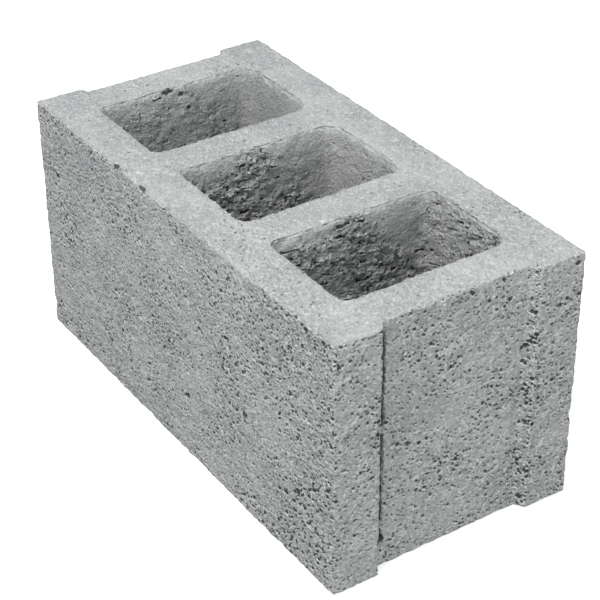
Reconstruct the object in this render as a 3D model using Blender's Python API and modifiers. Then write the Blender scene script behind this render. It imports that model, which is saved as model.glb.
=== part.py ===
"""A hollow concrete block, moulded in one piece.

The block stands on its bed face. Its length runs along X, its width along Y and its
height along Z, and the origin is at the middle of the bed face. Three rounded
rectangular cores run through it from bed to bed, and each end has a shallow,
full-height recess between two flanges.
"""

import bmesh
import bpy
from mathutils import Matrix, Vector

BLOCK_NAME = "concrete_block"

# Outer size, in metres.
LENGTH = 0.400
WIDTH = 0.200
HEIGHT = 0.200

# Cores: their size at the upper bed face, and how much further out every wall stands
# at the lower bed face, so that the mould's core bars draw out of the block.
CORE_COUNT = 3
CORE_LENGTH = 0.084
CORE_WIDTH = 0.131
CORE_CORNER_RADIUS = 0.012
CORE_DRAFT = 0.0015
WEB = 0.034  # concrete between two cores
CORE_PITCH = CORE_LENGTH + WEB

# End recesses: the flanges beside them are this wide at the end face, and the sides of
# the recess lean in by the taper on the way to its floor.
FLANGE_WIDTH = 0.037
RECESS_DEPTH = 0.0075
RECESS_TAPER = 0.0045

ARRIS_RADIUS = 0.0015  # every moulded edge is a little round
ARRIS_ANGLE = 0.6  # radians: edges that turn more than this are arrises
CORNER_SEGMENTS = 8
ARRIS_SEGMENTS = 2
OVERSHOOT = 0.010  # how far a cutter passes the face that it cuts

CONCRETE_COLOUR = (0.38, 0.39, 0.385, 1.0)
CONCRETE_ROUGHNESS = 0.92


def clear_scene():
    """Remove every object that the file starts with."""
    for obj in list(bpy.data.objects):
        bpy.data.objects.remove(obj, do_unlink=True)


def new_collection(name):
    """Return a new collection linked to the scene."""
    collection = bpy.data.collections.new(name)
    bpy.context.scene.collection.children.link(collection)
    return collection


def concrete():
    """Return the block's material: matt, light grey, vibrated concrete."""
    material = bpy.data.materials.new("vibrated_concrete")
    material.use_nodes = True
    shader = material.node_tree.nodes["Principled BSDF"]
    shader.inputs["Base Color"].default_value = CONCRETE_COLOUR
    shader.inputs["Roughness"].default_value = CONCRETE_ROUGHNESS
    shader.inputs["Metallic"].default_value = 0.0
    return material


def box_mesh(size):
    """Return a bmesh box of the given size, centred on its own origin."""
    mesh = bmesh.new()
    bmesh.ops.create_cube(mesh, size=1.0)
    bmesh.ops.scale(mesh, vec=Vector(size), verts=mesh.verts)
    return mesh


def new_object(name, mesh, centre, collection):
    """Turn a bmesh into an object of the collection, placed at its centre."""
    data = bpy.data.meshes.new(name)
    mesh.to_mesh(data)
    mesh.free()
    obj = bpy.data.objects.new(name, data)
    obj.location = centre
    collection.objects.link(obj)
    return obj


def as_cutter(obj):
    """Keep a helper out of the render and show it as a wire."""
    obj.hide_render = True
    obj.display_type = "WIRE"
    return obj


def core_cutter(index, collection):
    """Return the cutter of one core: a drafted box with rounded upright corners."""
    height = HEIGHT + 2 * OVERSHOOT
    mesh = box_mesh((CORE_LENGTH, CORE_WIDTH, height))
    upright = [e for e in mesh.edges if abs(e.verts[0].co.z - e.verts[1].co.z) > height / 2]
    bmesh.ops.bevel(
        mesh,
        geom=upright,
        offset=CORE_CORNER_RADIUS,
        offset_type="OFFSET",
        segments=CORNER_SEGMENTS,
        profile=0.5,
        affect="EDGES",
    )
    # Every wall moves out by the draft over one block height; the cutter's own ends lie
    # the overshoot above and below the beds, so they take the same slope further.
    for vert in mesh.verts:
        above_lower_bed = vert.co.z + HEIGHT / 2
        outward = CORE_DRAFT * (1.0 - above_lower_bed / HEIGHT)
        vert.co.x *= 1.0 + outward / (CORE_LENGTH / 2)
        vert.co.y *= 1.0 + outward / (CORE_WIDTH / 2)
    centre_x = (index - (CORE_COUNT - 1) / 2) * CORE_PITCH
    cutter = new_object(f"core_{index + 1}", mesh, (centre_x, 0.0, HEIGHT / 2), collection)
    return as_cutter(cutter)


def recess_cutter(side, collection):
    """Return the cutter of one end recess; side is -1 or +1 along X."""
    depth = RECESS_DEPTH + OVERSHOOT
    lean = RECESS_TAPER / RECESS_DEPTH
    mouth_half = WIDTH / 2 - FLANGE_WIDTH
    mesh = box_mesh((depth, 2 * mouth_half, HEIGHT + 2 * OVERSHOOT))
    for vert in mesh.verts:
        past_end_face = vert.co.x * side - (depth / 2 - OVERSHOOT)
        half = mouth_half + lean * past_end_face
        vert.co.y = half if vert.co.y > 0 else -half
    centre_x = side * (LENGTH / 2 - RECESS_DEPTH + depth / 2)
    end = "plus_x" if side > 0 else "minus_x"
    cutter = new_object(f"recess_{end}", mesh, (centre_x, 0.0, HEIGHT / 2), collection)
    return as_cutter(cutter)


def cut(obj, cutter):
    """Subtract a cutter from an object."""
    modifier = obj.modifiers.new(f"cut_{cutter.name}", "BOOLEAN")
    modifier.operation = "DIFFERENCE"
    modifier.solver = "EXACT"
    modifier.object = cutter


def round_arrises(obj):
    """Round every sharp edge, and leave the facets of the core corners alone."""
    modifier = obj.modifiers.new("arrises", "BEVEL")
    modifier.width = ARRIS_RADIUS
    modifier.segments = ARRIS_SEGMENTS
    modifier.limit_method = "ANGLE"
    modifier.angle_limit = ARRIS_ANGLE
    modifier.use_clamp_overlap = True


def build():
    """Build the block and its cutters."""
    clear_scene()
    parts = new_collection(BLOCK_NAME)
    cutters = new_collection("cutters")
    block = new_object(BLOCK_NAME, box_mesh((LENGTH, WIDTH, HEIGHT)), (0, 0, 0), parts)
    block.data.transform(Matrix.Translation((0.0, 0.0, HEIGHT / 2)))
    block.data.materials.append(concrete())
    for side in (-1, 1):
        cut(block, recess_cutter(side, cutters))
    for index in range(CORE_COUNT):
        cut(block, core_cutter(index, cutters))
    round_arrises(block)


build()
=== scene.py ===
"""Looks for a hollow concrete block with three cores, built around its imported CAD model.

The block is one piece of dry-mix concrete, pressed and vibrated in a steel mould. It stands on
its lower bed, with its length along X, its width along Y and its height along Z, in metres.
"""

import logging
import math
import random
from dataclasses import dataclass, field
from enum import Enum
from typing import Any

import bmesh
import bpy
from mathutils import Euler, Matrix, Quaternion, Vector, kdtree, noise


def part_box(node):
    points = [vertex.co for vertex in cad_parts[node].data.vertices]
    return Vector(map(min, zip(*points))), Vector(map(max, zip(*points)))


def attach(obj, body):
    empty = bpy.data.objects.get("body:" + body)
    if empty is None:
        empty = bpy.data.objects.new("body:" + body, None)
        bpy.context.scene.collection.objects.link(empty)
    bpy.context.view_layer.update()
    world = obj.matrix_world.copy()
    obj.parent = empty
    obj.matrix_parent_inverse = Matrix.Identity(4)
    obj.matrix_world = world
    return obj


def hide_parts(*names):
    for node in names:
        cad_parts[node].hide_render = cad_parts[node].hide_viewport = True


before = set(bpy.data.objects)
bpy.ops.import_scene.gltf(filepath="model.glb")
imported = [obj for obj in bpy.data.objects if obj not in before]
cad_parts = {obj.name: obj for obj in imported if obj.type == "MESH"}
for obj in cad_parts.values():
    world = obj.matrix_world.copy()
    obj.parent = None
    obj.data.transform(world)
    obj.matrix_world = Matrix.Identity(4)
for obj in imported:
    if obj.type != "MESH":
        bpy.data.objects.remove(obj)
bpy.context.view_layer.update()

log = logging.getLogger("concrete_block")

NODE = "concrete_block"
SLOT = "vibrated_concrete"
MM = 0.001
SEED = 9
KEEP_MATERIAL = -1  # a bevel's new faces keep their neighbours' material
KEPT_DIGITS = 7  # of a place in metres
OUTER_BAND = 1.2 * MM  # a face this near the outer box belongs to a side or an end
FACING = 0.7  # a face looks along an axis where its normal has more than this along it
ARRIS_TURN = math.radians(45)  # an edge that turns more than this is an arris
CRISP_TURN = math.radians(50)  # an edge that turns more than this is shaded crisp

# The skin's lumps and pores are drawn out along one slanting line, as they were when the mould
# was stripped off.
LEAN_TURNS = (0.0, math.radians(-26), math.radians(-45))
LEAN = Euler(LEAN_TURNS).to_matrix()
DRAW_OUT = 1.7


# ---------------------------------------------------------------------------------------------
# Small tools
# ---------------------------------------------------------------------------------------------


def linear(colour: str) -> tuple[float, float, float, float]:
    """Turn an sRGB hex colour into linear red, green, blue and alpha.

    Args:
        colour: Six hex digits, such as "9FA3A2".

    Returns:
        The colour as Blender's sockets take it.
    """
    channels = [int(colour[i : i + 2], 16) / 255 for i in (0, 2, 4)]
    red, green, blue = (c / 12.92 if c <= 0.04045 else ((c + 0.055) / 1.055) ** 2.4 for c in channels)
    return red, green, blue, 1.0


def per_metre(spacing_mm: float) -> float:
    """Return the texture scale that gives a pattern this spacing, in millimetres."""
    return 1.0 / (spacing_mm * MM)


def add_node(
    tree: bpy.types.NodeTree,
    kind: str,
    settings: dict[str, Any] | None = None,
    inputs: dict[Any, Any] | None = None,
) -> bpy.types.Node:
    """Add a shader node with its settings, values and links.

    Args:
        tree: The node tree that takes the node.
        kind: The node's type name, without its "ShaderNode" start.
        settings: Values of the node's own properties.
        inputs: A value or an output socket for each input, by name or number.

    Returns:
        The new node.
    """
    node = tree.nodes.new(f"ShaderNode{kind}")
    for name, value in (settings or {}).items():
        setattr(node, name, value)
    for key, value in (inputs or {}).items():
        if isinstance(value, bpy.types.NodeSocket):
            tree.links.new(value, node.inputs[key])
        else:
            node.inputs[key].default_value = value
    return node


def place_of(point: Vector) -> tuple[float, ...]:
    """Return a point's coordinates to a thousandth of a millimetre, to sort by."""
    return tuple(round(value / MM, 3) for value in point)


def clamp(value: float, low: float = 0.0, high: float = 1.0) -> float:
    """Keep a value between two limits."""
    return max(low, min(high, value))


def ease(value: float) -> float:
    """Return a smooth step from 0 to 1 as the value goes from 0 to 1."""
    t = clamp(value)
    return t * t * (3.0 - 2.0 * t)


class Cloud(Enum):
    """The noises that shape the skin; the value moves each one well away from the others."""

    LUMPS = 0.0
    WORN_STRETCHES = 2.0
    PATCHES = 3.0
    WORN_SPOTS = 4.0
    SMALL_PATCHES = 5.0
    GROOVE_FLOOR = 6.0
    SMALL_LUMPS = 9.0
    FRAYED_CLUMPS = 12.0
    FRAYED_GRAINS = 13.0


def read_cloud(cloud: Cloud, point: Vector, spacing: Vector | float) -> float:
    """Return smooth noise, mostly within half a unit of 0.

    Args:
        cloud: Which noise to read.
        point: Where to read it, in metres.
        spacing: The noise's size in metres, one for all axes or one for each.

    Returns:
        The noise there.
    """
    if isinstance(spacing, Vector):
        place = Vector((point.x / spacing.x, point.y / spacing.y, point.z / spacing.z))
    else:
        place = point / spacing
    shift = cloud.value
    return noise.noise(place + Vector((shift, 1.7 * shift, -2.3 * shift)))


def drawn_out(point: Vector) -> Vector:
    """Find a point's place in the skin's patterns, which lean and are drawn out a little.

    Args:
        point: A place on the block.

    Returns:
        The place to read a pattern at.
    """
    place = LEAN.inverted() @ point
    place.x /= DRAW_OUT
    return place


def stations(keys: list[float], cell: float) -> list[float]:
    """Fill the spans between key positions with near-equal cells.

    Args:
        keys: Positions that have to be on the list, in rising order.
        cell: The wanted spacing.

    Returns:
        All positions, the keys among them.
    """
    line = [keys[0]]
    for start, end in zip(keys, keys[1:]):
        count = max(1, round((end - start) / cell))
        line += [start + (end - start) * (i + 1) / count for i in range(count)]
    return line


# ---------------------------------------------------------------------------------------------
# The block
# ---------------------------------------------------------------------------------------------


class Surface(Enum):
    """The kinds of surface that the mould leaves on a block."""

    SIDE = 0  # pressed against the mould's long plates
    END = 1  # pressed against its end plates
    BED = 2  # struck off and tamped
    CORE = 3  # torn a little as the core bars are drawn out


@dataclass(frozen=True)
class Skin:
    """How open and rough one kind of surface is; lengths are in metres.

    A dent is one grid point pushed in, a pit is one cell pushed in to a point, a tear is a row
    of cells pushed in together, and a grain is one grid point left standing out.
    """

    sink: float
    lump_size: Vector
    lump_height: float
    patch_size: Vector
    dent_share: float
    dent_depth: float
    pit_share: float
    pit_depth: float
    tear_share: float
    tear_depth: float
    grain_share: float
    grain_height: float
    pore_width: float


class Chart(Enum):
    """The rectangles of the bake's map, with each one's lower left corner in metres on it."""

    NEAR_SIDE = (0.0, 0.0)
    FAR_SIDE = (0.406, 0.0)
    LOWER_BED = (0.0, 0.206)
    UPPER_BED = (0.406, 0.206)
    REAR_END = (0.0, 0.412)
    FRONT_END = (0.206, 0.412)
    REAR_CORE = (0.414, 0.412)
    MIDDLE_CORE = (0.002, 0.618)
    FRONT_CORE = (0.418, 0.618)


CHARTS = list(Chart)
CORE_CHARTS = (Chart.REAR_CORE, Chart.MIDDLE_CORE, Chart.FRONT_CORE)
MAP_SIZE = 0.835  # metres of skin across the whole map
MAP_EDGE = 0.003  # an empty strip along the map's left and lower edges, as a share of it

SKINS = {
    Surface.SIDE: Skin(
        sink=0.30 * MM,
        lump_size=Vector((5.5, 5.5, 5.0)) * MM,
        lump_height=1.5 * MM,
        patch_size=Vector((48, 48, 38)) * MM,
        dent_share=0.06,
        dent_depth=1.1 * MM,
        pit_share=0.12,
        pit_depth=1.8 * MM,
        tear_share=0.0,
        tear_depth=0.0,
        grain_share=0.12,
        grain_height=0.50 * MM,
        pore_width=1.0,
    ),
    Surface.END: Skin(
        sink=0.30 * MM,
        lump_size=Vector((5.5, 5.5, 5.0)) * MM,
        lump_height=1.2 * MM,
        patch_size=Vector((40, 40, 44)) * MM,
        dent_share=0.06,
        dent_depth=1.1 * MM,
        pit_share=0.12,
        pit_depth=1.8 * MM,
        tear_share=0.0,
        tear_depth=0.0,
        grain_share=0.12,
        grain_height=0.50 * MM,
        pore_width=1.0,
    ),
    Surface.BED: Skin(
        sink=0.25 * MM,
        lump_size=Vector((7, 7, 7)) * MM,
        lump_height=0.6 * MM,
        patch_size=Vector((50, 50, 50)) * MM,
        dent_share=0.05,
        dent_depth=0.6 * MM,
        pit_share=0.035,
        pit_depth=1.0 * MM,
        tear_share=0.0,
        tear_depth=0.0,
        grain_share=0.10,
        grain_height=0.25 * MM,
        pore_width=0.62,
    ),
    Surface.CORE: Skin(
        sink=0.30 * MM,
        lump_size=Vector((6, 6, 4.5)) * MM,
        lump_height=2.6 * MM,
        patch_size=Vector((44, 44, 36)) * MM,
        dent_share=0.10,
        dent_depth=1.8 * MM,
        pit_share=0.22,
        pit_depth=2.2 * MM,
        tear_share=0.055,
        tear_depth=2.4 * MM,
        grain_share=0.12,
        grain_height=0.6 * MM,
        pore_width=0.8,
    ),
}


@dataclass(frozen=True)
class Groove:
    """The groove in the front recess, in mm: its place, its ends, and where and how far it closes."""

    y: float = -57.3
    bottom: float = 20.0
    top: float = 191.0
    gaps: tuple[float, float] = (115.0, 36.0)
    half_gap: float = 3.0
    depth: float = 2.2
    reach: float = 1.75


GROOVE = Groove()


@dataclass(frozen=True)
class Chip:
    """A bite out of the concrete, deepest in the middle; lengths are in mm, from the lower bed's middle.

    A dark one is a small void, which the finish fills with painted shade. The others widen a core's mouth and
    leave the bed alone.
    """

    centre: tuple[float, float, float]
    radii: tuple[float, float, float]
    depth: float
    # whether the finish paints shade into the bite
    dark: bool = True

    def depth_at(self, point: Vector, normal: Vector) -> float:
        """Tell how far in the bite takes a point of the skin.

        Args:
            point: The point.
            normal: The way that the skin faces there.

        Returns:
            The depth in metres, 0 outside the bite.
        """
        away = point / MM - Vector(self.centre)
        out = away.dot(normal)
        away -= normal * out
        inside = sum((away[i] / self.radii[i]) ** 2 for i in range(3))
        on_bed = not self.dark and abs(normal.z) > FACING
        if inside >= 1.0 or abs(out) > max(self.radii) or on_bed:
            return 0.0
        return self.depth * MM * math.sqrt(1.0 - inside)


CHIPS = (
    # Nicks in the near upper arris.
    Chip((-75, -99.5, 199.5), (4, 3, 3), 2.4),
    Chip((-37, -99.5, 199.0), (4.5, 3, 3), 2.6),
    # Voids in the near side.
    Chip((-172.5, -100, 147), (3, 3, 1.9), 2.4),
    Chip((11.8, -100, 52.2), (2.4, 3, 1.2), 2.4),
    Chip((15.6, -100, 52.4), (2.6, 3, 1.7), 2.8),
    Chip((36.1, -100, 121.9), (2.3, 3, 1.8), 2.4),
    Chip((72.4, -100, 134), (2.5, 3, 1.9), 2.4),
    Chip((76.6, -100, 103), (2.8, 3, 2.1), 2.6),
    Chip((92.8, -100, 84.2), (2.6, 3, 1.9), 2.4),
    # Voids in the front end: both flanges, then the recess.
    Chip((200, -95.6, 183), (3, 2.0, 1.8), 2.4),
    Chip((200, 93.5, 192.3), (3, 2.4, 1.9), 2.6),
    Chip((192.5, -37.0, 95.9), (3, 2.0, 1.2), 2.4),
    Chip((192.5, -34.4, 94.3), (3, 2.1, 1.5), 2.8),
    Chip((192.5, -56, 24), (3, 2.4, 3.2), 2.6),
    # The crack that crosses the far side of the recess, and the voids below it.
    Chip((192.5, 56.9, 135.2), (3, 1.7, 1.2), 2.2),
    Chip((193.0, 58.9, 137.2), (3, 1.9, 1.3), 2.6),
    Chip((195.4, 60.2, 140.2), (3, 1.9, 1.6), 2.6),
    Chip((197.6, 61.4, 143.6), (3, 1.9, 1.6), 2.6),
    Chip((199.4, 62.6, 146.8), (3, 1.9, 1.7), 2.4),
    Chip((198.5, 62.2, 79.0), (3, 2.4, 1.2), 2.2),
    Chip((195.6, 60.4, 74.5), (3, 1.6, 2.0), 2.2),
    Chip((199.8, 65.0, 73.0), (3, 1.6, 1.8), 2.2),
    Chip((199.5, 63.5, 31.8), (3, 2.8, 1.2), 2.4),
    Chip((198.5, 62.0, 10.5), (3, 2.6, 1.4), 2.6),
    Chip((200, 99.5, 67), (2.5, 2.5, 6), 1.8),
    # Widened corners of the core mouths, and the voids near the rear mouth.
    Chip((159, -61, 200), (12, 12, 16), 4.2, dark=False),
    Chip((41, -61, 200), (12, 12, 14), 3.6, dark=False),
    Chip((77, -62, 200), (10, 10, 12), 2.0, dark=False),
    Chip((-159.5, -8, 197.5), (3, 5, 2.4), 2.6),
    Chip((-160, 4.0, 192), (3, 2.4, 2.0), 2.4),
    Chip((-160, 10.5, 179), (3, 2.2, 1.6), 2.4),
)


# How torn each core's walls are, from the rear core to the front one, and its far wall alone.
CORE_TORN = (0.4, 1.0, 1.4)
FAR_WALL_TORN = (0.10, 0.4, 1.5)
LONGEST_TEAR = 4  # cells
# What a grain, a dent and a void leave in the "relief" attribute, which the finish reads; it paints shade
# where the relief is low.
GRAIN_RELIEF = 0.6
DENT_RELIEF = -0.35
VOID_RELIEF = -1.0
HOLLOW_RELIEF = -0.3  # a point under this is in a deep dent or a void already
LEAST_OPEN = 0.55  # how open the grain is outside the cores, from the tightest patch
MOST_OPEN = 1.8  # to the coarsest


@dataclass
class HollowBlock:
    """A block moulded in one piece, with three cores and a shallow recess in each end.

    Its arrises are rounded, then worn, and worn more around the cores' mouths. The grid that it is
    made from bends with the cores' corners and with the recesses' leaning sides, up to a reach.
    """

    low: Vector
    high: Vector
    core_count: int = 3
    core_length: float = 84 * MM
    core_width: float = 131 * MM
    core_corner: float = 12 * MM
    near_corner: float = 6 * MM
    core_draft: float = 1.5 * MM
    core_pitch: float = 118 * MM
    flange_width: float = 37 * MM
    recess_depth: float = 7.5 * MM
    recess_taper: float = 4.5 * MM
    arris: float = 1.7 * MM
    arris_wear: float = 0.6 * MM
    mouth_wear: float = 1.1 * MM
    mouth_band: float = 6 * MM
    core_reach: float = 15 * MM
    taper_reach: float = 16 * MM
    cell: Vector = Vector((3.2, 2.95, 2.75)) * MM
    chips: tuple[Chip, ...] = CHIPS
    draw: random.Random = field(default_factory=lambda: random.Random(SEED))

    def build(self) -> bpy.types.Object:
        """Model the block.

        Returns:
            The block, as an object at the origin.
        """
        block = bmesh.new()
        self.lay_sheet(block)
        self.open_cores(block)
        self.raise_walls(block)
        arrises = self.find_arrises(block)
        self.round_arrises(block)
        self.put_in_order(block)
        self.mark_surfaces(block)
        self.draft_cores(block)
        self.scatter_grid(block, arrises)
        self.roughen(block, arrises)
        self.tear(block, arrises)
        self.pit(block, arrises)
        self.refine(block)
        self.fray(block)
        self.groove(block)
        self.bite(block)
        self.note_openness(block)
        self.lay_map(block)
        return self.finish(block)

    # -- the plain shape ----------------------------------------------------------------------

    def core_centres(self) -> list[float]:
        """Return each core's place along the length."""
        middle = (self.core_count - 1) / 2
        return [(i - middle) * self.core_pitch for i in range(self.core_count)]

    def lay_sheet(self, block: bmesh.types.BMesh) -> None:
        """Lay the lower bed as a grid whose lines pass along every wall.

        Args:
            block: The empty mesh.
        """
        half_length, half_width = self.core_length / 2, self.core_width / 2
        walls = [x + side * half_length for x in self.core_centres() for side in (-1, 1)]
        floor = self.high.x - self.recess_depth
        along = stations([self.low.x, -floor, *walls, floor, self.high.x], self.cell.x)
        mouth = self.high.y - self.flange_width
        across = stations(
            [self.low.y, -half_width, -mouth, mouth, half_width, self.high.y], self.cell.y
        )
        columns, rows = len(along) - 1, len(across) - 1
        bmesh.ops.create_grid(block, x_segments=columns, y_segments=rows, size=0.5)
        for vert in block.verts:
            vert.co = Vector(
                (
                    along[round((vert.co.x + 0.5) * columns)],
                    across[round((vert.co.y + 0.5) * rows)],
                    self.low.z,
                )
            )

        def is_open(face: bmesh.types.BMFace) -> bool:
            """Tell whether a cell lies in a core or in a recess.

            Args:
                face: The cell.

            Returns:
                True if there is no concrete there.
            """
            middle = face.calc_center_median()
            in_core = abs(middle.y) < half_width and any(
                abs(middle.x - x) < half_length for x in self.core_centres()
            )
            return in_core or (abs(middle.x) > floor and abs(middle.y) < mouth)

        gone = [face for face in block.faces if is_open(face)]
        bmesh.ops.delete(block, geom=gone, context="FACES")
        reach = self.taper_reach
        for vert in block.verts:
            past_floor = (abs(vert.co.x) - floor) / self.recess_depth
            lean = 1.0 - past_floor if past_floor > 0 else 1.0 + past_floor * self.recess_depth / reach
            off_mouth = (abs(vert.co.y) - mouth) / reach
            if lean > 0 and abs(off_mouth) < 1:
                pull = self.recess_taper * ease(lean) if past_floor < 0 else self.recess_taper * lean
                vert.co.y -= math.copysign(pull * (1 - off_mouth**2) ** 2, vert.co.y)

    def nearest_core(self, point: Vector) -> tuple[Vector, Vector]:
        """Find the core nearest to a point.

        Args:
            point: Any point, of which the height isn't read.

        Returns:
            The core's centre, and the nearest point on its square-cornered outline or inside it,
            both from the block's middle.
        """
        x = min(self.core_centres(), key=lambda centre: abs(point.x - centre))
        centre = Vector((x, 0.0, 0.0))
        away = Vector((point.x - x, point.y, 0.0))
        away.x = clamp(away.x, -self.core_length / 2, self.core_length / 2)
        away.y = clamp(away.y, -self.core_width / 2, self.core_width / 2)
        return centre, centre + away

    def corner_radius(self, y: float) -> float:
        """Return the corner radius of a core on the side that y lies on; the near corners are worn sharp."""
        return self.near_corner if y < 0 else self.core_corner

    def open_cores(self, block: bmesh.types.BMesh) -> None:
        """Round the cores' corners, and let the grid around each corner follow.

        Args:
            block: The sheet, with square-cornered openings.
        """
        for vert in block.verts:
            centre, edge = self.nearest_core(vert.co)
            away = edge - centre
            radius = self.corner_radius(away.y)
            start = Vector(
                (
                    math.copysign(self.core_length / 2 - radius, away.x),
                    math.copysign(self.core_width / 2 - radius, away.y),
                    0.0,
                )
            )
            if abs(away.x) <= abs(start.x) or abs(away.y) <= abs(start.y):
                continue
            arc = start + (away - start).normalized() * radius
            distance = math.hypot(vert.co.x - edge.x, vert.co.y - edge.y)
            fade = max(0.0, 1.0 - distance / self.core_reach) ** 2
            vert.co += (arc - away) * fade

    def raise_walls(self, block: bmesh.types.BMesh) -> None:
        """Extrude the sheet to the upper bed and cut its walls into cells.

        Args:
            block: The finished sheet.
        """
        height = self.high.z - self.low.z
        raised = bmesh.ops.extrude_face_region(block, geom=list(block.faces), use_keep_orig=True)
        upper = [part for part in raised["geom"] if isinstance(part, bmesh.types.BMVert)]
        bmesh.ops.translate(block, vec=Vector((0.0, 0.0, height)), verts=upper)
        uprights = [e for e in block.edges if abs(e.verts[0].co.z - e.verts[1].co.z) > height / 2]
        levels = round(height / self.cell.z)
        bmesh.ops.subdivide_edges(block, edges=uprights, cuts=levels - 1, use_grid_fill=True)
        for vert in block.verts:
            level = round((vert.co.z - self.low.z) / height * levels)
            vert.co.z = self.low.z + height * level / levels
        bmesh.ops.recalc_face_normals(block, faces=block.faces)

    @staticmethod
    def sharp_edges(block: bmesh.types.BMesh) -> list[bmesh.types.BMEdge]:
        """Return the edges that turn enough to be arrises."""
        return [e for e in block.edges if e.calc_face_angle(0.0) > ARRIS_TURN]

    def find_arrises(self, block: bmesh.types.BMesh) -> kdtree.KDTree:
        """Note where the arrises are, for everything that depends on how near they are.

        Args:
            block: The block, before its arrises are rounded.

        Returns:
            A search tree of points along every arris.
        """
        points = []
        for edge in self.sharp_edges(block):
            start, end = (vert.co.copy() for vert in edge.verts)
            points += [start, start.lerp(end, 1 / 3), start.lerp(end, 2 / 3), end]
        tree = kdtree.KDTree(len(points))
        for index, point in enumerate(points):
            tree.insert(point, index)
        tree.balance()
        return tree

    def round_arrises(self, block: bmesh.types.BMesh) -> None:
        """Round every arris.

        Args:
            block: The sharp block.
        """
        bmesh.ops.bevel(
            block,
            geom=self.sharp_edges(block),
            affect="EDGES",
            offset=self.arris,
            segments=2,
            profile=0.5,
            material=KEEP_MATERIAL,
        )
        block.normal_update()

    @staticmethod
    def put_in_order(block: bmesh.types.BMesh) -> None:
        """Sort the points and cells by place, so that each one gets the same random draws every time.

        Blender's operators leave them in another order from run to run, and their places a last
        digit apart, which is rounded off.

        Args:
            block: The mesh.
        """
        for vert in block.verts:
            vert.co = Vector([round(value, KEPT_DIGITS) for value in vert.co])
        points = [place_of(vert.co) for vert in block.verts]
        middles = [place_of(face.calc_center_median()) for face in block.faces]
        for parts, places in ((block.verts, points), (block.faces, middles)):
            parts.index_update()
            ranks = [0] * len(places)
            for rank, index in enumerate(sorted(range(len(places)), key=places.__getitem__)):
                ranks[index] = rank
            parts.sort(key=lambda part: ranks[part.index])
            parts.index_update()
        block.edges.index_update()
        block.normal_update()

    def surface_at(self, point: Vector, normal: Vector) -> Surface:
        """Tell which kind of surface a face belongs to.

        Args:
            point: The face's middle.
            normal: The way that it faces.

        Returns:
            The kind of surface.
        """
        if abs(normal.z) > FACING:
            return Surface.BED
        at_side = abs(point.y) > self.high.y - OUTER_BAND
        at_end = abs(point.x) > self.high.x - self.recess_depth - OUTER_BAND
        if at_end and (not at_side or abs(normal.x) > FACING):
            return Surface.END
        return Surface.SIDE if at_side else Surface.CORE

    def mark_surfaces(self, block: bmesh.types.BMesh) -> None:
        """Write on each face its kind of surface, its rectangle of the bake's map and its draws.

        Args:
            block: The plain block.
        """
        kind = block.faces.layers.int.new("surface")
        chart = block.faces.layers.int.new("chart")
        luck = block.faces.layers.float.new("luck")
        size = block.faces.layers.float.new("size")
        for face in block.faces:
            face[luck] = self.draw.random()
            face[size] = self.draw.uniform(0.45, 1.0)
            middle = face.calc_center_median()
            surface = self.surface_at(middle, face.normal)
            face[kind] = surface.value
            face[chart] = CHARTS.index(self.chart_at(middle, face.normal, surface))

    def chart_at(self, point: Vector, normal: Vector, surface: Surface) -> Chart:
        """Tell which rectangle of the bake's map a face belongs in.

        Args:
            point: The face's middle.
            normal: The way that it faces.
            surface: Its kind of surface.

        Returns:
            The rectangle.
        """
        if surface is Surface.CORE:
            return CORE_CHARTS[self.core_index(point)]
        if surface is Surface.SIDE:
            return Chart.FAR_SIDE if point.y > 0 else Chart.NEAR_SIDE
        if surface is Surface.END:
            return Chart.FRONT_END if point.x > 0 else Chart.REAR_END
        return Chart.UPPER_BED if normal.z > 0 else Chart.LOWER_BED

    def core_index(self, point: Vector) -> int:
        """Return the number of the core nearest to a point, from the rear one."""
        centres = self.core_centres()
        return min(range(len(centres)), key=lambda index: abs(point.x - centres[index]))

    def along_wall(self, point: Vector) -> float:
        """Measure how far round its core a point is, from the middle of the core's front wall.

        Args:
            point: A place on a core's wall.

        Returns:
            The way round in metres, anticlockwise as seen from above.
        """
        across = point.x - self.core_centres()[self.core_index(point)]
        x, y = abs(across), abs(point.y)
        corner_x = self.core_length / 2 - self.core_corner
        corner_y = self.core_width / 2 - self.core_corner
        arc = self.core_corner * math.pi / 2
        quarter = corner_x + arc + corner_y
        if y <= corner_y:
            way = y
        elif x <= corner_x:
            way = quarter - x
        else:
            way = corner_y + self.core_corner * math.atan2(y - corner_y, x - corner_x)
        if across < 0:
            way = 2 * quarter - way
        return way if point.y >= 0 else 4 * quarter - way

    def lay_map(self, block: bmesh.types.BMesh) -> None:
        """Lay every face flat in its rectangle of the bake's map, all at one scale.

        Args:
            block: The finished skin.
        """
        chart = block.faces.layers.int["chart"]
        uv = block.loops.layers.uv.new("OFBake")
        round_core = 4 * (self.core_length / 2 + self.core_width / 2)
        round_core -= (8 - 2 * math.pi) * self.core_corner
        flat = {
            Chart.NEAR_SIDE: lambda p: (p.x - self.low.x, p.z),
            Chart.FAR_SIDE: lambda p: (self.high.x - p.x, p.z),
            Chart.LOWER_BED: lambda p: (self.high.x - p.x, p.y - self.low.y),
            Chart.UPPER_BED: lambda p: (p.x - self.low.x, p.y - self.low.y),
            Chart.REAR_END: lambda p: (self.high.y - p.y, p.z),
            Chart.FRONT_END: lambda p: (p.y - self.low.y, p.z),
        }
        for face in block.faces:
            which = CHARTS[face[chart]]
            left, bottom = which.value
            middle = self.along_wall(face.calc_center_median()) if which in CORE_CHARTS else 0.0
            for loop in face.loops:
                point = loop.vert.co
                if which in CORE_CHARTS:
                    way = self.along_wall(point)
                    way += round_core * round((middle - way) / round_core)
                    place = (round_core - way, point.z)
                else:
                    place = flat[which](point)
                loop[uv].uv = Vector((place[0] + left, place[1] + bottom)) / MAP_SIZE
                loop[uv].uv += Vector((MAP_EDGE, MAP_EDGE))

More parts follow.
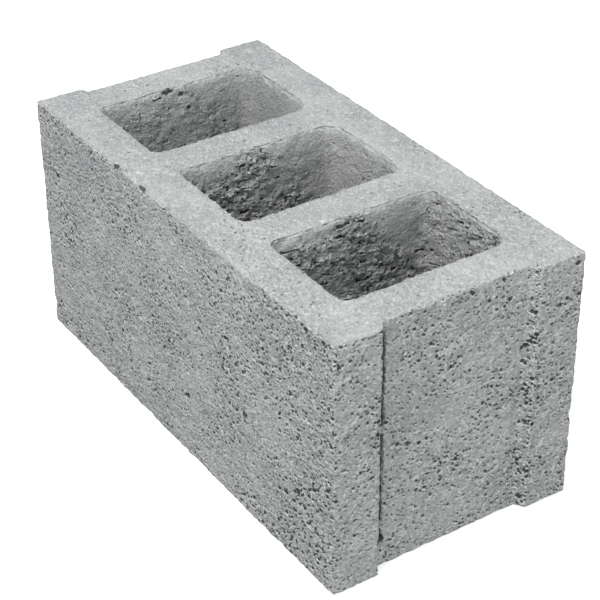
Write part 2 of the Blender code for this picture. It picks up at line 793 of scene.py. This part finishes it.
    def draft_cores(self, block: bmesh.types.BMesh) -> None:
        """Widen the cores towards the lower bed, as the drawn core bars leave them.

        Args:
            block: The plain block.
        """
        height = self.high.z - self.low.z
        for vert in block.verts:
            centre, edge = self.nearest_core(vert.co)
            away = edge - centre
            distance = math.hypot(vert.co.x - edge.x, vert.co.y - edge.y)
            fade = max(0.0, 1.0 - distance / self.core_reach)
            outward = self.core_draft * (1.0 - (vert.co.z - self.low.z) / height) * fade
            vert.co.x += outward * away.x / (self.core_length / 2)
            vert.co.y += outward * away.y / (self.core_width / 2)
        block.normal_update()

    # -- the skin -----------------------------------------------------------------------------

    def skin_of(self, face: bmesh.types.BMFace, kind: bmesh.types.BMLayerItem) -> Skin:
        """Return the skin of the surface that a face is marked with."""
        return SKINS[Surface(face[kind])]

    def openness(self, point: Vector, skin: Skin) -> float:
        """Tell how open the grain is, which changes from patch to patch.

        It is coarser on the recesses' leaning sides and towards the front of the near side.

        Args:
            point: A place on the skin.
            skin: The kind of skin there.

        Returns:
            A factor for the shares of pits and dents, 0 where a core's wall is smooth.
        """
        patch = read_cloud(Cloud.PATCHES, point, skin.patch_size)
        patch += 0.5 * read_cloud(Cloud.SMALL_PATCHES, point, skin.patch_size * 0.45)
        if skin is SKINS[Surface.CORE]:
            return clamp(self.torn(point) * (1.1 + 1.2 * patch), 0.0, MOST_OPEN)
        taper_middle = self.high.y - self.flange_width - self.recess_taper / 2
        on_taper = abs(abs(point.y) - taper_middle) < 4 * MM
        at_end = abs(point.x) > self.high.x - self.recess_depth - 2 * MM
        coarser = 0.5 if on_taper and at_end else 0.0
        if point.y < self.low.y + 3 * MM:
            coarser += 0.4 * ease((point.x - 80 * MM) / (70 * MM))
        return clamp(1.05 + 0.8 * patch + coarser, LEAST_OPEN, MOST_OPEN)

    def torn(self, point: Vector) -> float:
        """Tell how much the core bars tore a core's wall as they were drawn out.

        The upper edge and the far side came out cleanest, and so did the rear core.

        Args:
            point: A place on a core wall.

        Returns:
            A factor, 0 where the wall is smooth.
        """
        core = self.core_index(point)
        depth = self.high.z - point.z
        if point.y > 0.45 * self.core_width:
            to_front = ease((point.x - self.core_centres()[core]) / (60 * MM) + 0.55)
            return FAR_WALL_TORN[core] * (0.35 + 0.65 * to_front) * ease(depth / (9 * MM) - 0.2)
        at_mouth = clamp(1.2 - abs(point.y + 2 * MM) / (14 * MM))
        below = ease(depth / (22 * MM) - 0.1 + at_mouth)
        aside = ease((point.y - 8 * MM - 0.8 * depth) / (20 * MM) + 0.5)
        return CORE_TORN[core] * below * (1.0 - 0.9 * aside)

    def scatter_grid(self, block: bmesh.types.BMesh, arrises: kdtree.KDTree) -> None:
        """Move grid points about in their own plane, so that no row or column shows.

        Args:
            block: The plain block.
            arrises: Where the arrises are; points on them stay.
        """
        stay = 2.4 * MM
        most = 0.34  # of a cell
        moves = []
        for vert in block.verts:
            move = Vector([self.draw.uniform(-most, most) * size for size in self.cell])
            if arrises.find(vert.co)[2] < stay:
                continue
            move -= vert.normal * move.dot(vert.normal)
            moves.append((vert, move))
        for vert, move in moves:
            vert.co += move
        block.normal_update()

    def roughen(self, block: bmesh.types.BMesh, arrises: kdtree.KDTree) -> None:
        """Give the skin its lumps, dents and grains, and wear the arrises.

        Args:
            block: The block with a scattered grid.
            arrises: Where the arrises are.
        """
        kind = block.faces.layers.int["surface"]
        relief = block.verts.layers.float.new("relief")
        arris_band = 5.5 * MM
        moves = []
        for vert in block.verts:
            skin = self.skin_of(min(vert.link_faces, key=lambda face: face.index), kind)
            edge = ease(1.0 - arrises.find(vert.co)[2] / arris_band)
            share = self.openness(vert.co, skin)
            drawn = drawn_out(vert.co)
            lump = read_cloud(Cloud.LUMPS, drawn, skin.lump_size)
            lump += 0.5 * read_cloud(Cloud.SMALL_LUMPS, drawn, skin.lump_size * 0.5)
            if skin is SKINS[Surface.CORE]:
                lump *= 0.2 + 0.8 * clamp(share)
            depth = skin.sink - skin.lump_height * lump * (1.0 - 0.7 * edge)
            luck = self.draw.random()
            size = self.draw.uniform(0.4, 1.0)
            if edge < 0.3 and luck < skin.dent_share * share:
                depth += skin.dent_depth * size
                vert[relief] = DENT_RELIEF * size
            elif luck > 1.0 - skin.grain_share:
                depth -= skin.grain_height * size
                vert[relief] = GRAIN_RELIEF * size
            wear = 0.1 + 0.7 * read_cloud(Cloud.WORN_STRETCHES, vert.co, 12 * MM)
            wear += 0.8 * read_cloud(Cloud.WORN_SPOTS, vert.co, 5 * MM)
            wear += self.draw.uniform(0.0, 0.9)
            off_core = (self.nearest_core(vert.co)[1] - vert.co.xy.to_3d()).length
            most_wear = self.mouth_wear if off_core < self.mouth_band else self.arris_wear
            depth += edge * clamp(wear, 0.0, 2.0) * most_wear
            if skin is not SKINS[Surface.CORE]:
                depth = max(depth, 0.0)
            moves.append((vert, vert.normal * -depth))
        for vert, move in moves:
            vert.co += move
        block.normal_update()

    def tear(self, block: bmesh.types.BMesh, arrises: kdtree.KDTree) -> None:
        """Open short level tears on the core walls.

        Args:
            block: The roughened block.
            arrises: Where the arrises are.
        """
        kind = block.faces.layers.int["surface"]
        relief = block.verts.layers.float["relief"]
        depths: dict[float, list[bmesh.types.BMFace]] = {}
        taken: set[int] = set()
        for face in list(block.faces):
            skin = self.skin_of(face, kind)
            luck = self.draw.random()
            length = self.draw.randint(1, LONGEST_TEAR)
            middle = face.calc_center_median()
            if luck > skin.tear_share * self.openness(middle, skin) ** 2:
                continue
            run = self.level_run(face, length)
            if any(f.index in taken or arrises.find(f.calc_center_median())[2] < 3 * MM for f in run):
                continue
            around = {n.index for f in run for v in f.verts for n in v.link_faces}
            if around & taken:
                continue
            taken |= around
            depths.setdefault(skin.tear_depth, []).extend(run)
        for depth, faces in sorted(depths.items()):
            bmesh.ops.inset_region(
                block, faces=faces, use_even_offset=True, thickness=0.5 * MM, depth=-depth
            )
            # The tears are marked for painted shade.
            for vert in {v for f in faces for v in f.verts}:
                vert[relief] = VOID_RELIEF
        block.normal_update()

    @staticmethod
    def level_run(face: bmesh.types.BMFace, length: int) -> list[bmesh.types.BMFace]:
        """Return a row of neighbouring upright cells at one level.

        Args:
            face: The first cell.
            length: How many cells to take.

        Returns:
            The cells, fewer where the row ends.
        """
        run = [face]
        while len(run) < length and len(run[-1].edges) == 4:
            last = run[-1]
            steep = sorted(last.edges, key=lambda e: -abs(e.verts[0].co.z - e.verts[1].co.z))[:2]
            onward = [f for e in steep for f in e.link_faces if f not in run]
            if not onward or any(len(cell.edges) != 4 for cell in onward):
                break
            run.append(min(onward, key=lambda cell: cell.index))
        return run

    def pit(self, block: bmesh.types.BMesh, arrises: kdtree.KDTree) -> None:
        """Push single cells in to a point.

        Args:
            block: The torn block.
            arrises: Where the arrises are.
        """
        kind = block.faces.layers.int["surface"]
        relief = block.verts.layers.float["relief"]
        luck = block.faces.layers.float["luck"]
        size = block.faces.layers.float["size"]
        chosen = []
        for face in block.faces:
            skin = self.skin_of(face, kind)
            middle = face.calc_center_median()
            if face[luck] > skin.pit_share * self.openness(middle, skin):
                continue
            hollow = any(vert[relief] < HOLLOW_RELIEF for vert in face.verts)
            if hollow or arrises.find(middle)[2] < 2 * MM:
                continue
            chosen.append((face, skin.pit_depth))
        for depth in sorted({d for _, d in chosen}):
            faces = [face for face, d in chosen if d == depth]
            poked = bmesh.ops.poke(block, faces=faces, offset=0.0, center_mode="MEAN")
            for vert in poked["verts"]:
                share = vert.link_faces[0][size]
                vert.normal_update()
                vert.co -= vert.normal * depth * share
                # The pit's point is marked for painted shade.
                vert[relief] = VOID_RELIEF * share
        block.normal_update()

    def refine(self, block: bmesh.types.BMesh) -> None:
        """Cut the cells around the chips and the groove into smaller ones.

        Args:
            block: The pitted block.
        """
        spots = kdtree.KDTree(len(self.chips))
        for index, chip in enumerate(self.chips):
            spots.insert(Vector(chip.centre) * MM, index)
        spots.balance()
        edges = set()
        for face in block.faces:
            middle = face.calc_center_median()
            _, index, distance = spots.find(middle)
            near_chip = self.chips[index].dark and distance < 5 * MM
            if near_chip or self.in_groove(middle, 3.2 * MM):
                edges.update(face.edges)
        chosen = [edge for edge in block.edges if edge in edges]
        bmesh.ops.subdivide_edges(block, edges=chosen, cuts=2, use_grid_fill=True)
        block.normal_update()

    def fray(self, block: bmesh.types.BMesh) -> None:
        """Leave the upper mouths of the cores ragged, where the bars tore grains out as they rose.

        Args:
            block: The refined block.
        """
        mouth = self.high.z - 2.2 * MM
        edges = set()
        for face in block.faces:
            middle = face.calc_center_median()
            if middle.z > mouth and self.off_outline(middle) < 2.4 * MM:
                edges.update(face.edges)
        chosen = [edge for edge in block.edges if edge in edges]
        bmesh.ops.subdivide_edges(block, edges=chosen, cuts=1, use_grid_fill=True)
        for vert in block.verts:
            if vert.co.z > mouth and self.off_outline(vert.co) < 1.8 * MM:
                outward = vert.co - self.nearest_core(vert.co)[0]
                outward.z = 0.0
                clump = clamp(0.25 + 1.8 * read_cloud(Cloud.FRAYED_CLUMPS, vert.co, 5 * MM))
                torn = clump + 0.5 * clamp(0.5 + read_cloud(Cloud.FRAYED_GRAINS, vert.co, 1.3 * MM)) ** 2
                vert.co += (outward.normalized() * 1.1 - Vector((0.0, 0.0, 0.8))) * MM * torn
        block.normal_update()

    def off_outline(self, point: Vector) -> float:
        """Measure how far a point is, seen from above, from its core's rounded outline.

        Args:
            point: A place near a core, of which the height isn't read.

        Returns:
            The distance, inwards or outwards.
        """
        centre = self.nearest_core(point)[0]
        radius = self.corner_radius(point.y)
        x = abs(point.x - centre.x) - (self.core_length / 2 - radius)
        y = abs(point.y) - (self.core_width / 2 - radius)
        if x > 0 and y > 0:
            return abs(math.hypot(x, y) - radius)
        return abs(max(x, y) - radius)

    def in_groove(self, point: Vector, reach: float) -> bool:
        """Tell whether a point lies within reach of the groove in the front recess.

        Args:
            point: A place on the block.
            reach: How far from the groove's middle line counts.

        Returns:
            True if it does.
        """
        middle = Vector((self.high.x - self.recess_depth, GROOVE.y * MM))
        z = point.z / MM
        return (point.xy - middle).length < reach and GROOVE.bottom < z < GROOVE.top

    def bite(self, block: bmesh.types.BMesh) -> None:
        """Take the block's own chips out of it.

        Args:
            block: The block with its groove.
        """
        relief = block.verts.layers.float["relief"]
        for chip in self.chips:
            for vert in block.verts:
                depth = chip.depth_at(vert.co, vert.normal)
                if depth > 0.0:
                    vert.co -= vert.normal * depth
                    # A dark chip is marked for painted shade.
                    vert[relief] = VOID_RELIEF if chip.dark else vert[relief]
        block.normal_update()

    def groove(self, block: bmesh.types.BMesh) -> None:
        """Run a rough, broken groove down one re-entrant corner of the front recess.

        Args:
            block: The refined block.
        """
        relief = block.verts.layers.float["relief"]
        for vert in block.verts:
            if not self.in_groove(vert.co, GROOVE.reach * MM):
                continue
            z = vert.co.z / MM
            closed = min(abs(z - height) for height in GROOVE.gaps) < GROOVE.half_gap
            wider = 0.3 if z < GROOVE.gaps[0] else 0.0
            rough = 0.8 + read_cloud(Cloud.GROOVE_FLOOR, vert.co, 7 * MM) + wider
            deep = 0.1 if closed else clamp(rough, 0.3, 1.4)
            vert.co.x -= GROOVE.depth * MM * deep
            # The groove is marked for painted shade, least where it closes.
            vert[relief] = -clamp(deep + 0.3)
        block.normal_update()

    def note_openness(self, block: bmesh.types.BMesh) -> None:
        """Write how open the grain is on each point, and how torn in a core, for the finish's pores.

        Args:
            block: The finished skin.
        """
        kind = block.faces.layers.int["surface"]
        openness = block.verts.layers.float.new("openness")
        core = block.verts.layers.float.new("core")
        for vert in block.verts:
            skins = [self.skin_of(face, kind) for face in vert.link_faces]
            wide = sum(skin.pore_width for skin in skins) / len(skins)
            grain = self.openness(vert.co, skins[0])
            vert[openness] = wide * (0.6 + 0.4 * grain)
            in_core = sum(skin is SKINS[Surface.CORE] for skin in skins) / len(skins)
            vert[core] = min(grain, 1.1) * in_core

    # -- the object ---------------------------------------------------------------------------

    def finish(self, block: bmesh.types.BMesh) -> bpy.types.Object:
        """Turn the mesh into a smooth-shaded object with crisp pits.

        Args:
            block: The finished mesh, which is freed.

        Returns:
            The object.
        """
        for vert in block.verts:
            vert.co = Vector([clamp(vert.co[i], self.low[i], self.high[i]) for i in range(3)])
        closed = all(edge.is_manifold for edge in block.edges)
        triangles = sum(len(face.verts) - 2 for face in block.faces)
        log.info("block: %d triangles, closed %s, %.5f m3", triangles, closed, block.calc_volume(signed=True))
        data = bpy.data.meshes.new("block_skin")
        block.to_mesh(data)
        block.free()
        data.shade_smooth()
        data.set_sharp_from_angle(angle=CRISP_TURN)
        piece = bpy.data.objects.new("block_skin", data)
        bpy.context.scene.collection.objects.link(piece)
        return piece


# ---------------------------------------------------------------------------------------------
# Finishes
# ---------------------------------------------------------------------------------------------


@dataclass(frozen=True)
class Pores:
    """One size of pore in the skin; they lie at random, so most are cut smaller than the radius."""

    spacing_mm: float
    radius_mm: float
    edge_mm: float


@dataclass(frozen=True)
class Tint:
    """A colour that comes in where a pattern is strong.

    The share is how much of it there is where the pattern is strongest. A pattern that isn't a
    mask yet is made one between the band's two values.
    """

    colour: str
    share: float
    band: tuple[float, float] | None = None
    where_open: bool = False


# Pale sand: the grains' own colour, and also the painted highlight on the pores' lower lips.
SAND_AND_HIGHLIGHT = "D6D6D3"
# Painted shade, laid in the pores, the pits and voids, and the torn crevices.
PAINTED_SHADE = "414344"
GRAIN_ROUGHNESS = 0.6  # of the noises, so that they look gritty


@dataclass(frozen=True)
class VibratedConcrete:
    """Dry-mix concrete, pressed and vibrated in a steel mould.

    It is a matt, neutral grey, open-grained surface: pale sand grains in a cooler cement paste,
    with pores between them. Its pores, pits and crevices are darkened with painted shade, so the
    pores read as dark specks, and each pore has a painted highlight on its lower lip.
    """

    paste: str = "A9A9A7"
    paste_dark: str = "989998"
    paste_band: tuple[float, float] = (0.68, 1.02)
    grains: Tint = Tint(SAND_AND_HIGHLIGHT, 0.62, band=(0.47, 0.68), where_open=True)
    standing_grains: Tint = Tint(SAND_AND_HIGHLIGHT, 0.6, band=(0.25, 0.6))
    # Painted highlight: sand laid on each pore's lower lip, where light from above would catch it.
    fine_lip_highlights: Tint = Tint(SAND_AND_HIGHLIGHT, 0.45, where_open=True)
    coarse_lip_highlights: Tint = Tint(SAND_AND_HIGHLIGHT, 0.8, where_open=True)
    # Painted shade in the pores.
    fine_pore_shade: Tint = Tint(PAINTED_SHADE, 0.8, where_open=True)
    coarse_pore_shade: Tint = Tint(PAINTED_SHADE, 0.9, where_open=True)
    # Painted shade in deep dents, pits, tears, dark chips and the groove, read from the relief attribute.
    pits: Tint = Tint(PAINTED_SHADE, 0.9, band=(-0.3, -0.85))
    # Painted shade in the torn crevices.
    crevices: Tint = Tint(PAINTED_SHADE, 0.84)
    roughness: float = 0.93
    specular: float = 0.3
    patch_mm: float = 42
    mottle_mm: float = 4.6
    grain_mm: float = 2.0
    crevice_mm: tuple[float, float, float] = (6.0, 6.0, 2.6)
    crevice_dip: float = math.radians(-10)
    crevice_band: tuple[float, float] = (0.32, 0.26)
    fine: Pores = Pores(spacing_mm=3.3, radius_mm=1.1, edge_mm=0.7)
    coarse: Pores = Pores(spacing_mm=7.0, radius_mm=1.5, edge_mm=0.75)
    ragged_mm: float = 2.4
    ragged_shift_mm: float = 1.6
    relief_mm: float = 2.8
    # How far above a pore its painted highlight is read.
    highlight_lip_mm: float = 1.2

    def drawn_out(
        self, tree: bpy.types.NodeTree, place: bpy.types.NodeSocket
    ) -> bpy.types.NodeSocket:
        """Lean and draw out a pattern a little, as the skin was when it left the mould.

        Args:
            tree: The material's node tree.
            place: Where on the piece.

        Returns:
            The place in the drawn-out pattern.
        """
        return add_node(
            tree,
            "Mapping",
            {"vector_type": "TEXTURE"},
            {"Vector": place, "Rotation": LEAN_TURNS, "Scale": (DRAW_OUT, 1.0, 1.0)},
        ).outputs[0]

    def pore_mask(
        self, tree: bpy.types.NodeTree, place: bpy.types.NodeSocket, pores: Pores, widen: bpy.types.NodeSocket
    ) -> bpy.types.NodeSocket:
        """Draw one size of pore.

        Args:
            tree: The material's node tree.
            place: Where on the piece, a little warped so that no pore is quite round.
            pores: The pores' size.
            widen: A factor for the pores' radius, 1 where the skin is as open as usual.

        Returns:
            A mask, 1 in a pore and 0 outside.
        """
        cells = add_node(tree, "TexVoronoi", inputs={"Vector": place, "Scale": per_metre(pores.spacing_mm)})
        radius = pores.radius_mm / pores.spacing_mm
        rim = add_node(tree, "Math", {"operation": "MULTIPLY"}, {0: widen, 1: radius})
        floor = add_node(
            tree, "Math", {"operation": "SUBTRACT"}, {0: rim.outputs[0], 1: pores.edge_mm / pores.spacing_mm}
        )
        mask = add_node(
            tree,
            "MapRange",
            {"interpolation_type": "SMOOTHSTEP"},
            {
                "Value": cells.outputs["Distance"],
                "From Min": floor.outputs[0],
                "From Max": rim.outputs[0],
                "To Min": 1.0,
                "To Max": 0.0,
            },
        )
        return mask.outputs["Result"]

    def pores_at(
        self, tree: bpy.types.NodeTree, place: bpy.types.NodeSocket, widen: bpy.types.NodeSocket
    ) -> list[bpy.types.NodeSocket]:
        """Draw both sizes of pore.

        Args:
            tree: The material's node tree.
            place: Where on the piece.
            widen: A factor for the pores' radius.

        Returns:
            The masks of the fine pores and of the coarse ones.
        """
        drawn = self.drawn_out(tree, place)
        ragged = add_node(
            tree,
            "TexNoise",
            inputs={
                "Vector": drawn,
                "Scale": per_metre(self.ragged_mm),
                "Detail": 1.0,
                "Roughness": GRAIN_ROUGHNESS,
            },
        )
        warped = add_node(
            tree,
            "VectorMath",
            {"operation": "MULTIPLY_ADD"},
            {0: ragged.outputs["Color"], 1: (self.ragged_shift_mm * MM,) * 3, 2: drawn},
        ).outputs[0]
        return [self.pore_mask(tree, warped, pores, widen) for pores in (self.fine, self.coarse)]

    def crevice_mask(
        self, tree: bpy.types.NodeTree, place: bpy.types.NodeSocket, in_core: bpy.types.NodeSocket
    ) -> bpy.types.NodeSocket:
        """Draw the nearly level crevices that the core bars tore open.

        Args:
            tree: The material's node tree.
            place: Where on the piece.
            in_core: How torn the wall is, 0 outside the cores.

        Returns:
            A mask, 1 in a crevice and 0 outside.
        """
        level = add_node(
            tree,
            "Mapping",
            {"vector_type": "TEXTURE"},
            {
                "Vector": place,
                "Rotation": (self.crevice_dip, -self.crevice_dip, 0.0),
                "Scale": tuple(size * MM for size in self.crevice_mm),
            },
        )
        torn = add_node(
            tree,
            "TexNoise",
            inputs={"Vector": level.outputs[0], "Scale": 1.0, "Detail": 2.0, "Roughness": 0.55},
        )
        wider = add_node(
            tree, "Math", {"operation": "MULTIPLY_ADD"}, {0: in_core, 1: -0.08, 2: torn.outputs["Fac"]}
        )
        start, end = self.crevice_band
        band = add_node(
            tree,
            "MapRange",
            {"interpolation_type": "SMOOTHSTEP"},
            {"Value": wider.outputs[0], "From Min": start, "From Max": end},
        )
        whole = add_node(tree, "Math", {"operation": "MINIMUM"}, {0: in_core, 1: 1.0})
        return add_node(
            tree, "Math", {"operation": "MULTIPLY"}, {0: band.outputs["Result"], 1: whole.outputs[0]}
        ).outputs[0]

    def lay(
        self,
        tree: bpy.types.NodeTree,
        tint: Tint,
        pattern: bpy.types.NodeSocket,
        openness: bpy.types.NodeSocket,
        colour: bpy.types.NodeSocket,
    ) -> bpy.types.NodeSocket:
        """Lay a tint over the colour so far.

        Args:
            tree: The material's node tree.
            tint: The tint.
            pattern: The pattern that it follows.
            openness: How open the grain is.
            colour: The colour so far.

        Returns:
            The new colour.
        """
        if tint.band:
            start, end = tint.band
            pattern = add_node(
                tree,
                "MapRange",
                {"interpolation_type": "SMOOTHSTEP"},
                {"Value": pattern, "From Min": start, "From Max": end},
            ).outputs["Result"]
        if tint.where_open:
            pattern = add_node(tree, "Math", {"operation": "MULTIPLY"}, {0: pattern, 1: openness}).outputs[0]
        share = add_node(
            tree, "Math", {"operation": "MULTIPLY", "use_clamp": True}, {0: pattern, 1: tint.share}
        )
        mixed = add_node(
            tree, "Mix", {"data_type": "RGBA"}, {0: share.outputs[0], 6: colour, 7: linear(tint.colour)}
        )
        return mixed.outputs[2]

    def paste_colour(
        self, tree: bpy.types.NodeTree, patch: bpy.types.NodeSocket, mottle: bpy.types.NodeSocket
    ) -> bpy.types.NodeSocket:
        """Colour the cement paste, which changes from patch to patch.

        Args:
            tree: The material's node tree.
            patch: The wide pattern.
            mottle: The close one.

        Returns:
            The colour.
        """
        both = add_node(tree, "Math", {"operation": "MULTIPLY_ADD"}, {0: mottle, 1: 0.7, 2: patch})
        start, end = self.paste_band
        share = add_node(
            tree,
            "MapRange",
            {"interpolation_type": "SMOOTHSTEP"},
            {"Value": both.outputs[0], "From Min": start, "From Max": end},
        )
        return add_node(
            tree,
            "Mix",
            {"data_type": "RGBA"},
            {0: share.outputs["Result"], 6: linear(self.paste_dark), 7: linear(self.paste)},
        ).outputs[2]

    def build(self) -> bpy.types.Material:
        """Make the material.

        Returns:
            The material, which reads the skin's "openness", "relief" and "core" attributes.
        """
        material = bpy.data.materials.new(SLOT)
        material.use_nodes = True
        tree = material.node_tree
        tree.nodes.clear()
        openness, relief, in_core = (
            add_node(tree, "Attribute", {"attribute_name": name}).outputs["Fac"]
            for name in ("openness", "relief", "core")
        )
        place = add_node(tree, "TexCoord").outputs["Object"]
        # The pores read again a little higher give their lower lips a painted highlight.
        highlight_place = add_node(
            tree, "VectorMath", {"operation": "ADD"}, {0: place, 1: (0.0, 0.0, self.highlight_lip_mm * MM)}
        ).outputs[0]
        drawn = self.drawn_out(tree, place)
        # Sand grains are under a millimetre; they are drawn twice as coarse, so that they show.
        patch, mottle, grain = (
            add_node(
                tree,
                "TexNoise",
                inputs={
                    "Vector": where,
                    "Scale": per_metre(spacing_mm),
                    "Detail": detail,
                    "Roughness": GRAIN_ROUGHNESS,
                },
            ).outputs["Fac"]
            for where, spacing_mm, detail in (
                (place, self.patch_mm, 3.0),
                (drawn, self.mottle_mm, 2.0),
                (drawn, self.grain_mm, 2.0),
            )
        )
        fine, coarse = self.pores_at(tree, place, openness)
        fine_highlight, coarse_highlight = self.pores_at(tree, highlight_place, openness)
        crevice = self.crevice_mask(tree, place, in_core)

        colour = self.paste_colour(tree, patch, mottle)
        # The grains and standing grains are the sand's own colour; the lips' sand is a painted highlight, and
        # the grey in pores, pits and crevices is painted shade.
        for tint, pattern in (
            (self.grains, grain),
            (self.standing_grains, relief),
            (self.fine_lip_highlights, fine_highlight),
            (self.coarse_lip_highlights, coarse_highlight),
            (self.fine_pore_shade, fine),
            (self.coarse_pore_shade, coarse),
            (self.pits, relief),
            (self.crevices, crevice),
        ):
            colour = self.lay(tree, tint, pattern, openness, colour)

        height = grain
        for pattern, rise in ((mottle, 0.8), (fine, -0.22), (coarse, -0.4), (crevice, -0.6)):
            height = add_node(
                tree, "Math", {"operation": "MULTIPLY_ADD"}, {0: pattern, 1: rise, 2: height}
            ).outputs[0]
        height = add_node(tree, "Math", {"operation": "MULTIPLY"}, {0: height, 1: openness}).outputs[0]
        bump = add_node(
            tree, "Bump", inputs={"Strength": 1.0, "Distance": self.relief_mm * MM, "Height": height}
        )
        shader = add_node(
            tree,
            "BsdfPrincipled",
            inputs={
                "Base Color": colour,
                "Roughness": self.roughness,
                "Normal": bump.outputs["Normal"],
                "Specular IOR Level": self.specular,
            },
        )
        add_node(tree, "OutputMaterial", inputs={"Surface": shader.outputs[0]})
        return material


@dataclass(frozen=True)
class StudioPaper:
    """Matt white paper on a light table, which softens the shadow; a faint cloud of fibres."""

    pale: str = "E9E9E9"
    shade: str = "E4E4E4"
    glow: float = 0.5

    def build(self) -> bpy.types.Material:
        """Make the material.

        Returns:
            The material.
        """
        material = bpy.data.materials.new("studio_paper")
        material.use_nodes = True
        tree = material.node_tree
        tree.nodes.clear()
        place = add_node(tree, "TexCoord").outputs["Object"]
        cloudy = add_node(tree, "TexNoise", inputs={"Vector": place, "Scale": per_metre(300)})
        tone = add_node(
            tree,
            "Mix",
            {"data_type": "RGBA"},
            {0: cloudy.outputs["Fac"], 6: linear(self.shade), 7: linear(self.pale)},
        )
        shader = add_node(
            tree,
            "BsdfPrincipled",
            inputs={
                "Base Color": tone.outputs[2],
                "Roughness": 0.9,
                "Emission Color": (1.0, 1.0, 1.0, 1.0),
                "Emission Strength": self.glow,
            },
        )
        add_node(tree, "OutputMaterial", inputs={"Surface": shader.outputs[0]})
        return material


# ---------------------------------------------------------------------------------------------
# The studio
# ---------------------------------------------------------------------------------------------


@dataclass(frozen=True)
class Lamp:
    """A round soft lamp that is aimed at the block; its place is in metres and its power in watts."""

    name: str
    place: Vector
    size: float
    power: float
    tint: tuple[float, float, float] = (1.0, 0.993, 0.978)

    def hang(self) -> None:
        """Add the lamp to the scene."""
        lamp = bpy.data.lights.new(self.name, "AREA")
        lamp.shape = "DISK"
        lamp.size = self.size
        lamp.energy = self.power
        lamp.color = self.tint
        piece = bpy.data.objects.new(self.name, lamp)
        piece.location = self.place
        piece.rotation_mode = "QUATERNION"
        piece.rotation_quaternion = (Vector((0.0, 0.0, 0.1)) - self.place).to_track_quat("-Z", "Y")
        bpy.context.scene.collection.objects.link(piece)


@dataclass
class Studio:
    """A pale floor, an even sky, a key lamp above the near side, a low fill lamp and the camera."""

    floor_size: float = 40.0
    sky: float = 0.8
    sky_tint: tuple[float, float, float] = (0.945, 1.0, 1.045)
    below: float = 0.45
    lamps: tuple[Lamp, ...] = (
        Lamp("key", Vector((0.45, -1.28, 2.1)), 0.8, 43.5),
        Lamp("fill", Vector((2.3, -0.4, 0.55)), 0.8, 16.0),
    )
    camera_place: Vector = Vector((0.9201, -0.5967, 0.7996))
    camera_aim: Vector = Vector((0.0074, 0.0023, 0.0938))
    camera_roll: float = math.radians(-0.41)
    lens_mm: float = 106.25

    def build(self) -> None:
        """Set up everything that isn't the block."""
        self.lay_floor()
        self.light()
        self.aim_camera()
        bpy.context.scene.view_settings.view_transform = "Standard"

    def lay_floor(self) -> None:
        """Lay the floor that the block stands on."""
        floor = bmesh.new()
        bmesh.ops.create_grid(floor, x_segments=1, y_segments=1, size=self.floor_size / 2)
        data = bpy.data.meshes.new("floor")
        floor.to_mesh(data)
        floor.free()
        data.materials.append(StudioPaper().build())
        piece = bpy.data.objects.new("floor", data)
        bpy.context.scene.collection.objects.link(piece)
        piece.visible_diffuse = False
        piece.visible_shadow = False

    def light(self) -> None:
        """Light the sky, a little less below the horizon, and hang the lamps."""
        world = bpy.data.worlds.new("sky")
        bpy.context.scene.world = world
        world.use_nodes = True
        tree = world.node_tree
        tree.nodes.clear()
        way = add_node(tree, "TexCoord").outputs["Generated"]
        height = add_node(tree, "SeparateXYZ", inputs={0: way}).outputs["Z"]
        share = add_node(
            tree, "MapRange", inputs={"Value": height, "From Min": -0.06, "From Max": -0.01}
        ).outputs["Result"]
        tone = add_node(
            tree,
            "Mix",
            {"data_type": "RGBA"},
            {0: share, 6: (*(self.below * part for part in self.sky_tint), 1.0), 7: (*self.sky_tint, 1.0)},
        ).outputs[2]
        backdrop = add_node(tree, "Background", inputs={"Color": tone, "Strength": self.sky})
        add_node(tree, "OutputWorld", inputs={"Surface": backdrop.outputs[0]})
        for lamp in self.lamps:
            lamp.hang()

    def aim_camera(self) -> None:
        """Place the camera, aim it, and give it its slight roll."""
        camera = bpy.data.cameras.new("camera")
        camera.lens = self.lens_mm
        camera.sensor_width = 36.0
        camera.clip_end = 100.0
        piece = bpy.data.objects.new("camera", camera)
        piece.location = self.camera_place
        piece.rotation_mode = "QUATERNION"
        aim = (self.camera_aim - self.camera_place).to_track_quat("-Z", "Y")
        piece.rotation_quaternion = aim @ Quaternion((0, 0, 1), self.camera_roll)
        bpy.context.scene.collection.objects.link(piece)
        bpy.context.scene.camera = piece


def main() -> None:
    """Build the block and the studio, and report each piece."""
    logging.basicConfig(level=logging.INFO, format="%(name)s: %(message)s")
    low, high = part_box(NODE)
    block = HollowBlock(low, high)
    piece = block.build()
    piece.data.materials.append(VibratedConcrete().build())
    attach(piece, "root")
    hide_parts(NODE)
    log.info("%s: %d vertices", piece.name, len(piece.data.vertices))
    Studio().build()
    log.info("studio: floor, sky, lamps and camera")


if __name__ == "__main__":
    main()
